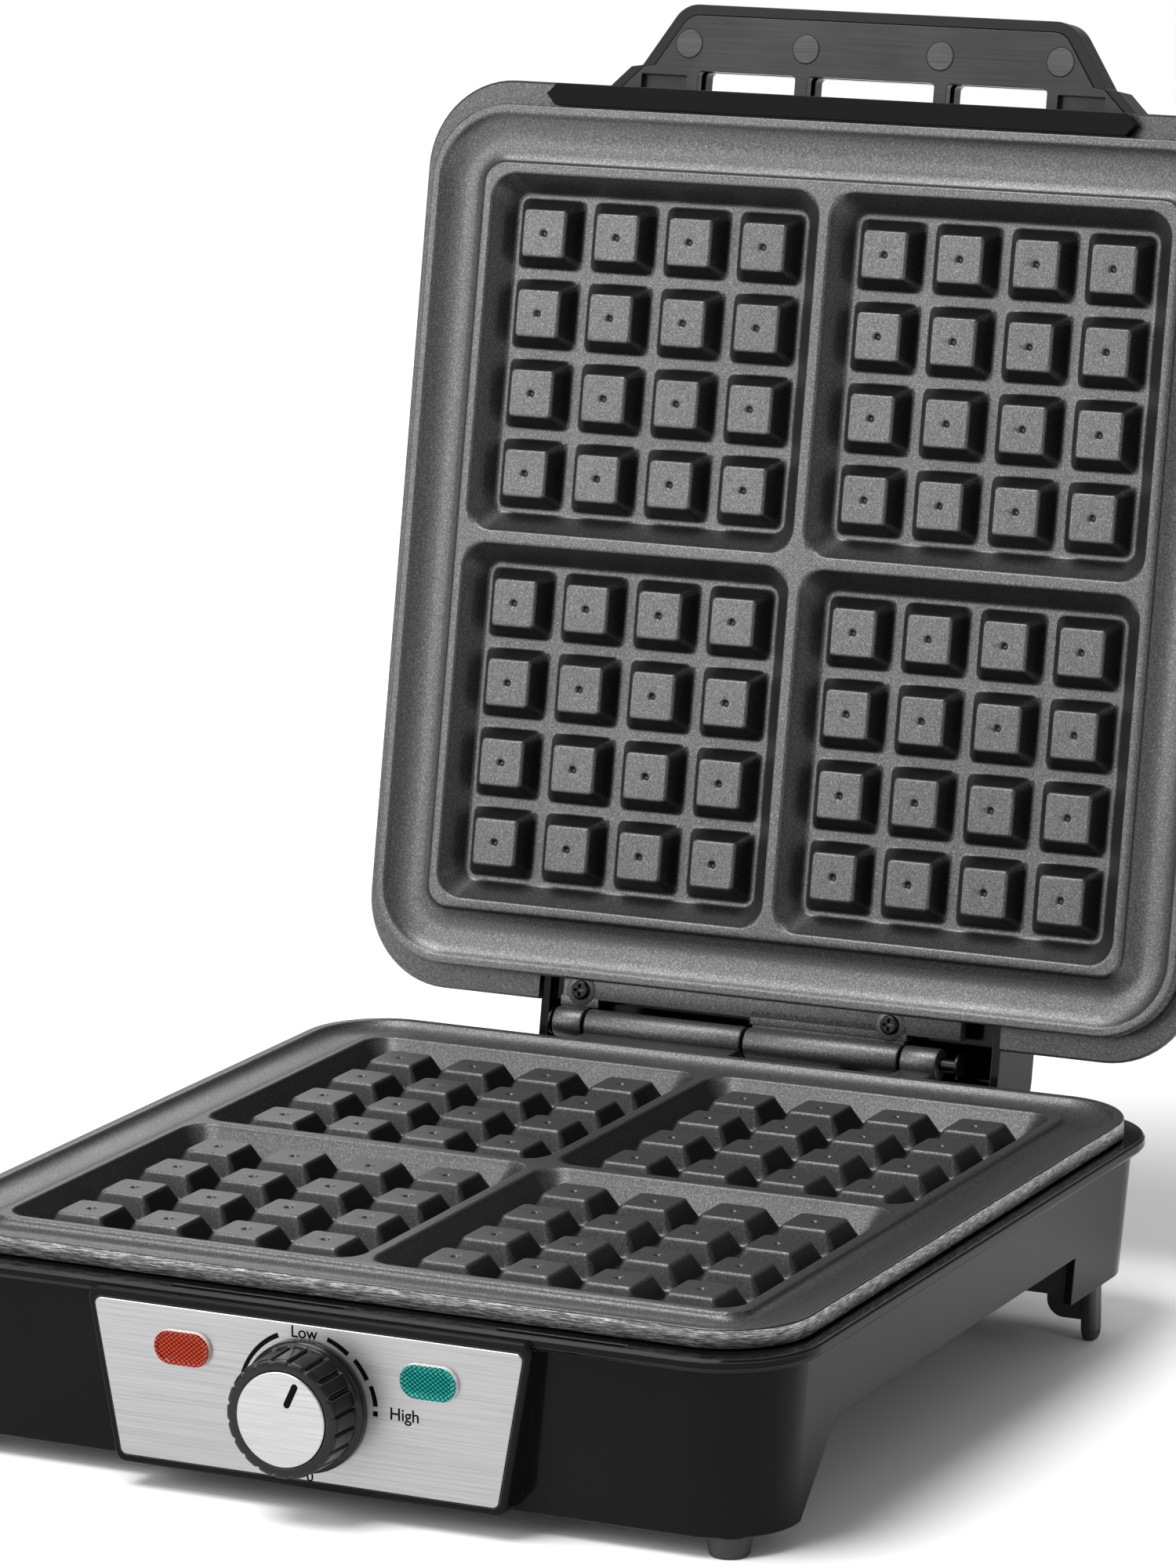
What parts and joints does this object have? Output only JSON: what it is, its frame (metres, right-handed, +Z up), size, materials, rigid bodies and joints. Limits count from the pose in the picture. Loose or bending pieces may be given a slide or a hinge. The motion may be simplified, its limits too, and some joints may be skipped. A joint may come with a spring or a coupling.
{
  "type": "waffle maker",
  "caption": "Countertop waffle maker with square gridded plates, a hinged lid with a front handle, a thermostat knob and indicator lamps on a steel panel.",
  "frame": {"origin": "on the floor under the middle of the whole appliance as it stands with the lid open", "axes": "+Z up, -Y towards the user and the control panel, +Y towards the hinge, +X to the user's right"},
  "size_m": [0.268, 0.3911, 0.3588],
  "materials": {
    "black_gloss": "gloss",
    "black_satin": "satin",
    "nonstick": "satin non-stick coating over cast aluminium",
    "panel_steel": "brushed",
    "sheet_steel": "satin",
    "screw_steel": "zinc plated",
    "black_steel": "black oxide",
    "shield": "mill finish",
    "element": "oxidised",
    "rubber": "matt",
    "red_lens": "translucent",
    "green_lens": "translucent",
    "lamp_glass": "clear",
    "ceramic": "matt",
    "white_plastic": "matt",
    "lead_sleeve": "matt"
  },
  "bodies": {
    "base": {"lower_housing": "black_gloss", "bottom_cover": "black_satin", "bottom_cover_screws": "screw_steel", "front_feet": "rubber", "rear_feet": "rubber", "cord_gland": "rubber", "terminal_block": "white_plastic", "terminal_screws": "screw_steel", "internal_wiring": "lead_sleeve", "control_bezel": "black_gloss", "control_panel": "panel_steel", "power_lamp_lens": "red_lens", "ready_lamp_lens": "green_lens", "power_lamp_bulb": "lamp_glass", "ready_lamp_bulb": "lamp_glass", "lamp_holders": "white_plastic", "thermostat_body": "ceramic", "thermostat_bracket": "sheet_steel", "thermostat_nut": "screw_steel", "thermal_fuse": "screw_steel", "fuse_clip": "sheet_steel", "lower_cooking_plate": "nonstick", "lower_heating_element": "element", "lower_reflector": "shield", "lower_plate_screws": "screw_steel", "hinge_pin": "sheet_steel", "hinge_clips": "black_steel"},
    "knob": {"knob_body": "black_gloss", "knob_cap": "panel_steel", "knob_pointer": "black_satin", "thermostat_shaft": "sheet_steel"},
    "lid": {"lid_cover": "black_gloss", "lid_frame": "nonstick", "upper_cooking_plate": "nonstick", "upper_heating_element": "element", "upper_reflector": "shield", "upper_plate_screws": "screw_steel", "hinge_screws": "black_steel", "handle_outer_shell": "black_gloss", "handle_inner_shell": "black_gloss", "handle_screws": "screw_steel", "handle_plugs": "black_gloss", "handle_strip": "black_gloss"}
  },
  "joints": [
    {"name": "lid_hinge", "type": "hinge", "parent": "base", "child": "lid", "pos_m": [0, 0.0995, 0.063], "axis": [1, 0, 0], "range_deg": [0, 101]},
    {"name": "knob_turn", "type": "hinge", "parent": "base", "child": "knob", "pos_m": [0, -0.1826, 0.03], "axis": [0, 1, 0], "range_deg": [-205, 65]}
  ]
}
